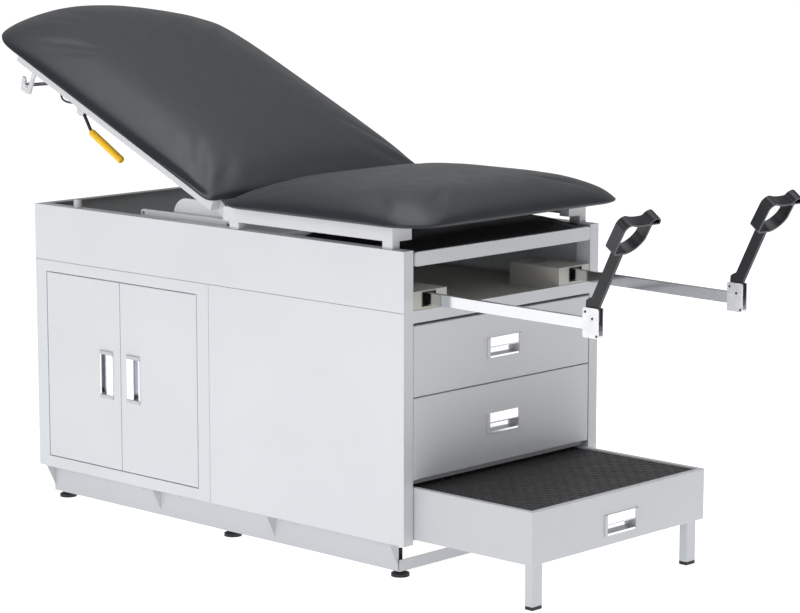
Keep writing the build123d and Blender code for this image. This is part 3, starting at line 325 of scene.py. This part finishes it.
# ---- Pads: a domed shell over a flat base, swollen by cloth under pressure
def plan_outline(points, count):
    """The pad's outline in plan, as evenly spaced points round its convex hull."""
    flat = sorted({(round(float(p[0]), 5), round(float(p[1]), 5)) for p in points})
    chains = []
    for order in (flat, flat[::-1]):
        chain = []
        for q in order:
            while len(chain) > 1:
                (ax, ay), (bx, by) = chain[-2:]
                if (bx - ax) * (q[1] - ay) - (by - ay) * (q[0] - ax) > 0:
                    break
                chain.pop()
            chain.append(q)
        chains += chain[:-1]
    hull = np.array(chains + chains[:1])
    walked = np.concatenate(([0], np.cumsum(np.linalg.norm(np.diff(hull, axis=0), axis=1))))
    stops = np.linspace(0, walked[-1], count, endpoint=False)
    return np.stack([np.interp(stops, walked, hull[:, axis]) for axis in (0, 1)], axis=1)


def dome(along, across):
    """Height from 0 at the outline to 1 in the middle, for places given as shares of each half width."""
    first = np.sqrt(np.clip(1 - np.clip(along, 0, 1) ** DOME_POWER, 0, 1))
    second = np.sqrt(np.clip(1 - np.clip(across, 0, 1) ** DOME_POWER, 0, 1))
    return first * second


def shell(name, outline, base, edge, height):
    """A closed pad made of rings from its flat underside, round a soft edge and in over a domed top."""
    middle = np.array([(outline[:, 0].max() + outline[:, 0].min()) / 2, 0.0])
    front = outline[outline[:, 0] > middle[0]]
    back = outline[outline[:, 0] <= middle[0]]
    far = outline[outline[:, 1] > 0]
    front = front[np.argsort(front[:, 1])]
    back = back[np.argsort(back[:, 1])]
    far = far[np.argsort(far[:, 0])]
    crown = [(float(np.sin(pi / 2 * step / CROWN_RINGS)), 1.0) for step in range(CROWN_RINGS, 0, -1)]
    rows = [(0.30, 0.0), (0.65, 0.0), (0.988, 0.0), (0.998, 0.35), (1.0, 0.7)] + crown
    work = bmesh.new()
    rings = []
    for share, lift in rows:
        place = middle + (outline - middle) * share
        x, y = place[:, 0], place[:, 1]
        ahead = np.interp(y, front[:, 1], front[:, 0]) - middle[0]
        behind = middle[0] - np.interp(y, back[:, 1], back[:, 0])
        along = np.abs(x - middle[0]) / np.where(x > middle[0], ahead, behind)
        across = np.abs(y) / np.interp(x, far[:, 0], far[:, 1])
        rise = dome(along, across) if lift == 1.0 else 0
        z = base + edge * lift + (height - edge) * rise * np.ones(len(x))
        rings.append([work.verts.new(v) for v in zip(x, y, z)])
    for lower, upper in zip(rings, rings[1:]):
        for i in range(len(lower)):
            j = (i + 1) % len(lower)
            work.faces.new((lower[i], lower[j], upper[j], upper[i]))
    for ring, z, turned in ((rings[0], base, True), (rings[-1], base + height, False)):
        tip = work.verts.new((middle[0], 0, z))
        for i in range(len(ring)):
            pair = (ring[i], ring[(i + 1) % len(ring)])
            work.faces.new((*(pair[::-1] if turned else pair), tip))
    mesh = bpy.data.meshes.new(name)
    work.to_mesh(mesh)
    work.free()
    return mesh


def swollen(name, mesh, base, cap, pressure):
    """The shell blown up by cloth pressure, by no more than the cap, with its underside held."""
    piece = bpy.data.objects.new(name, mesh)
    bpy.context.scene.collection.objects.link(piece)
    bpy.context.view_layer.objects.active = piece
    start = np.array([v.co for v in mesh.vertices], float)
    held = piece.vertex_groups.new(name="base")
    held.add([int(i) for i in np.nonzero(start[:, 2] < base + 0.005)[0]], 1.0, "REPLACE")
    cloth = piece.modifiers.new("cloth", "CLOTH")
    cloth.settings.use_pressure = True
    cloth.settings.uniform_pressure_force = pressure
    cloth.settings.tension_stiffness = 15
    cloth.settings.compression_stiffness = 15
    cloth.settings.bending_stiffness = 4
    cloth.settings.effector_weights.gravity = 0
    cloth.settings.vertex_group_mass = "base"
    cloth.point_cache.frame_start = 1
    cloth.point_cache.frame_end = CLOTH_FRAMES
    scene = bpy.context.scene
    for step in range(1, CLOTH_FRAMES + 1):
        scene.frame_set(step)
    bpy.context.view_layer.update()
    seen = piece.evaluated_get(bpy.context.evaluated_depsgraph_get())
    moved = np.array([v.co for v in seen.data.vertices], float)
    piece.modifiers.remove(cloth)
    scene.frame_set(1)
    travel = moved - start
    length = np.linalg.norm(travel, axis=1)
    share = np.where(length > 0, cap * np.tanh(length / cap) / np.maximum(length, 1e-9), 0)
    mesh.vertices.foreach_set("co", (start + travel * share[:, None]).ravel())
    mesh.update()
    print("cloth", name, len(mesh.vertices), "moved", round(float(length.max()), 4))
    return piece


def finish_pad(piece, node, turn, material, body, limit):
    """Keep the pad inside its limits, relax it, turn it to its place and let it stand for its CAD solid."""
    mesh = piece.data
    low, high = limit
    co = np.array([v.co for v in mesh.vertices], float)
    co = np.clip(co, np.array(low), np.array(high))
    mesh.vertices.foreach_set("co", co.ravel())
    bpy.context.view_layer.objects.active = piece
    relax = piece.modifiers.new("relax", "SMOOTH")
    relax.iterations = RELAX_STEPS
    bpy.ops.object.modifier_apply(modifier="relax")
    piece.data.transform(turn)
    smooth(piece.data)
    piece.data.materials.clear()
    piece.data.materials.append(material)
    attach(piece, body)
    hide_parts(node)


down = Matrix.Translation(PIVOT) @ Matrix.Rotation(-RAISED, 4, "Y") @ Matrix.Translation(-PIVOT)
level = Matrix.Identity(4)
for name, node, undo, material, body, edge, height in (
    ("seat_cushion", "seat_pad", level, VINYL, "cabinet", 0.012, 0.073),
    ("backrest_cushion", "backrest_pad", down, VINYL, "backrest", 0.012, 0.066),
    # The leg-rest pad takes the blacker vinyl copy, which is painted shade.
    ("leg_rest_cushion", "leg_rest_pad", level, SHADED_VINYL, "leg_rest", 0.016, 0.048),
):
    flat = nodes[node].data.copy()
    flat.transform(undo)
    corners = np.array([v.co for v in flat.vertices], float)
    low, high = corners.min(0), corners.max(0)
    bpy.data.meshes.remove(flat)
    mesh = shell(name, plan_outline(corners, PAD_POINTS), float(low[2]), edge, height)
    piece = swollen(name, mesh, float(low[2]), CLOTH_CAP, CLOTH_PRESSURE)
    high[2] = low[2] + height + 0.005
    finish_pad(piece, node, undo.inverted(), material, body, (low, high))


# ---- Step mat: a rubber sheet with rows of raised lozenges
def lozenge(work, x, y, z, angle, length, width, height):
    """One raised lozenge with sloping sides."""
    along = Vector((cos(angle), sin(angle), 0))
    across = Vector((-sin(angle), cos(angle), 0))
    centre = Vector((x, y, z))
    rim = [
        centre + along * length / 2,
        centre + across * width / 2,
        centre - along * length / 2,
        centre - across * width / 2,
    ]
    top = [centre + (p - centre) * 0.62 + Vector((0, 0, height)) for p in rim]
    low = [work.verts.new(p) for p in rim]
    up = [work.verts.new(p) for p in top]
    work.faces.new(up)
    for i in range(4):
        work.faces.new((low[i], low[(i + 1) % 4], up[(i + 1) % 4], up[i]))


def mat_mesh():
    """The mat's sheet, sunk a little, with lozenges turned left and right by turns."""
    low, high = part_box("step_mat")
    work = bmesh.new()
    bmesh.ops.create_cube(work, size=1.0)
    size = high - low
    middle = (high + low) / 2
    for vert in work.verts:
        vert.co = Vector((vert.co.x * size.x, vert.co.y * size.y, vert.co.z * (size.z - 0.0008)))
        vert.co += middle - Vector((0, 0, 0.0004))
    columns = int(size.x / MAT_PITCH)
    rows = int(size.y / MAT_PITCH)
    for i in range(columns):
        for j in range(rows):
            x = low.x + (i + 0.5) * size.x / columns
            y = low.y + (j + 0.5) * size.y / rows
            angle = pi / 4 if (i + j) % 2 else -pi / 4
            lozenge(work, x, y, high.z - 0.0009, angle, LOZENGE_LENGTH, LOZENGE_WIDTH, LOZENGE_HEIGHT)
    mesh = bpy.data.meshes.new("mat_tread")
    work.to_mesh(mesh)
    work.free()
    return mesh


mat_piece = new_piece("mat_tread", mat_mesh(), MAT_RUBBER, "step")
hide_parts("step_mat")


# ---- A painted shadow strip under each apron, where two panels meet flush
for name, side in SIDES:
    work = bmesh.new()
    bmesh.ops.create_cube(work, size=1.0)
    for vert in work.verts:
        vert.co.x = FRONT_X + SEAM_SHADOW_MIDDLE_X + vert.co.x * SEAM_SHADOW_SIZE[0]
        vert.co.y = side * SEAM_SHADOW_Y + vert.co.y * SEAM_SHADOW_SIZE[1]
        vert.co.z = SEAM_SHADOW_Z + vert.co.z * SEAM_SHADOW_SIZE[2]
    mesh = bpy.data.meshes.new(f"{name}_apron_seam_shadow")
    work.to_mesh(mesh)
    work.free()
    new_piece(f"{name}_apron_seam_shadow", mesh, SEAM_SHADOW_PAINT, "cabinet")


# ---- Rivets on the stirrup brackets
def disc(radius, height, crown=0.35, steps=20):
    """A button head standing on z = 0 and pointing up."""
    work = bmesh.new()
    bmesh.ops.create_cone(
        work, cap_ends=True, segments=steps, radius1=radius, radius2=radius, depth=height * (1 - crown)
    )
    for vert in work.verts:
        vert.co.z += height * (1 - crown) / 2
    top = [f for f in work.faces if f.normal.z > 0.9]
    bmesh.ops.inset_region(work, faces=top, thickness=radius * 0.4)
    for face in top:
        for vert in face.verts:
            vert.co.z += height * crown
    mesh = bpy.data.meshes.new("head")
    work.to_mesh(mesh)
    work.free()
    return mesh


def heads(name, places, normal, radius, height, material, body):
    """Button heads at several points, all facing one way."""
    turn = Vector((0, 0, 1)).rotation_difference(Vector(normal)).to_matrix().to_4x4()
    whole = bmesh.new()
    for place in places:
        part = disc(radius, height)
        part.transform(Matrix.Translation(place) @ turn)
        whole.from_mesh(part)
        bpy.data.meshes.remove(part)
    mesh = bpy.data.meshes.new(name)
    whole.to_mesh(mesh)
    whole.free()
    return new_piece(name, mesh, material, body)


def on_stirrup(side, turn, x, z, out):
    """A point on a stirrup, turned about its swivel; out is measured away from the bar's middle."""
    pivot = Vector((FRONT_X + SWIVEL_X, side * BAR_Y, 0))
    point = Vector((FRONT_X + x, side * BAR_Y + out, z))
    return pivot + Matrix.Rotation(radians(turn), 3, "Z") @ (point - pivot)


for name, side, turn, bracket_x in (("near", -1, -2.0, 0.451), ("far", 1, -3.5, 0.461)):
    for face in (-1, 1):
        normal = Matrix.Rotation(radians(turn), 3, "Z") @ Vector((0, face, 0))
        spots = [on_stirrup(side, turn, bracket_x + x, z, face * BRACKET_FACE) for x, z in RIVETS]
        label = f"{name}_rivets_{'left' if face < 0 else 'right'}"
        heads(label, spots, normal, RIVET_RADIUS, RIVET_HEIGHT, RIVET, f"{name}_bar")


# ---- Floor, light and camera
floor_mesh = bpy.data.meshes.new("floor")
floor_mesh.from_pydata(
    [(-60, -60, 0), (60, -60, 0), (60, 60, 0), (-60, 60, 0)], [], [(0, 1, 2, 3)]
)
floor = bpy.data.objects.new("floor", floor_mesh)
bpy.context.scene.collection.objects.link(floor)
ground = Graph("floor_white")
ground.set(Base_Color=(0.9, 0.9, 0.9, 1), Roughness=0.9, Specular_IOR_Level=0.0)
ground.set(Emission_Color=(1, 1, 1, 1), Emission_Strength=0.72)
floor_mesh.materials.append(ground.material)

world = bpy.data.worlds.new("studio")
bpy.context.scene.world = world
world.use_nodes = True
sky = world.node_tree.nodes["Background"]
sky.inputs["Color"].default_value = (1, 1, 1, 1)
path = world.node_tree.nodes.new("ShaderNodeLightPath")
backdrop = world.node_tree.nodes.new("ShaderNodeMapRange")
backdrop.inputs["To Min"].default_value = 0.40
backdrop.inputs["To Max"].default_value = 1.1
world.node_tree.links.new(path.outputs["Is Camera Ray"], backdrop.inputs["Value"])
world.node_tree.links.new(backdrop.outputs["Result"], sky.inputs["Strength"])


def softbox(name, place, aim, size, power):
    """A rectangular area light pointed at a spot."""
    light = bpy.data.lights.new(name, "AREA")
    light.shape = "RECTANGLE"
    light.size, light.size_y = size
    light.energy = power
    lamp = bpy.data.objects.new(name, light)
    bpy.context.scene.collection.objects.link(lamp)
    lamp.location = place
    lamp.rotation_euler = (Vector(aim) - Vector(place)).to_track_quat("-Z", "Y").to_euler()


softbox("key", (0.9, -5.2, 2.6), (-0.1, 0, 0.5), (3.0, 2.4), 56)
softbox("top", (0.0, 0.4, 4.4), (0, 0, 0.6), (4.0, 3.0), 84)
softbox("fill", (4.5, 0.8, 2.0), (0.3, 0, 0.5), (2.5, 2.5), 5)

camera = bpy.data.objects.new("camera", bpy.data.cameras.new("camera"))
bpy.context.scene.collection.objects.link(camera)
camera.location = (4.0279 + FRONT_X, -4.2722 - 0.325, 1.5510 + 0.009)
camera.rotation_euler = (radians(90 - 9.163), radians(0.0), radians(43.393))
camera.data.lens = 125.74
camera.data.sensor_width = 36
camera.data.clip_end = 200
bpy.context.scene.camera = camera
bpy.context.scene.view_settings.view_transform = "Standard"
